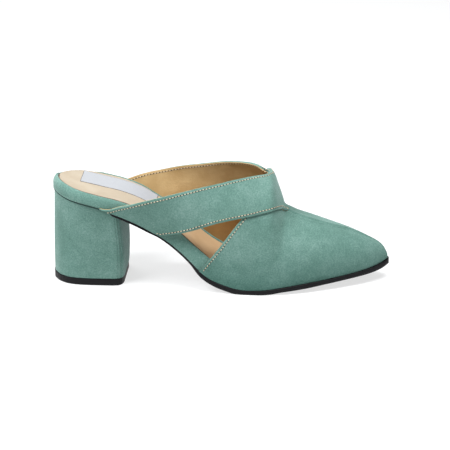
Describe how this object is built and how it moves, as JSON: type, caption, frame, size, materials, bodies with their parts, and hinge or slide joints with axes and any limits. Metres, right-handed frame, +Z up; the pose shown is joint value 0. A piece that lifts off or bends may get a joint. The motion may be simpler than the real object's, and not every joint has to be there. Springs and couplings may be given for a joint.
{
  "type": "block heel mule",
  "caption": "Pointed slip-on mule with crossed instep straps, open heel, cut-out sides and a wrapped block heel.",
  "frame": {"origin": "centre of the bounding box seen from above, on the floor that the heel and the forefoot stand on", "axes": "+X from the heel to the toe, +Y to the inner (medial) side of the foot, -Y to the outer side, +Z up"},
  "size_m": [0.2463, 0.075, 0.084],
  "materials": {
    "suede": "napped suede, teal green",
    "lining_leather": "smooth, matt, tan",
    "black_sole": "satin"
  },
  "bodies": {
    "root": {"upper": "suede", "rand": "suede", "heel_block": "suede", "insole": "lining_leather", "outsole": "black_sole", "heel_top_piece": "black_sole"}
  },
  "joints": []
}
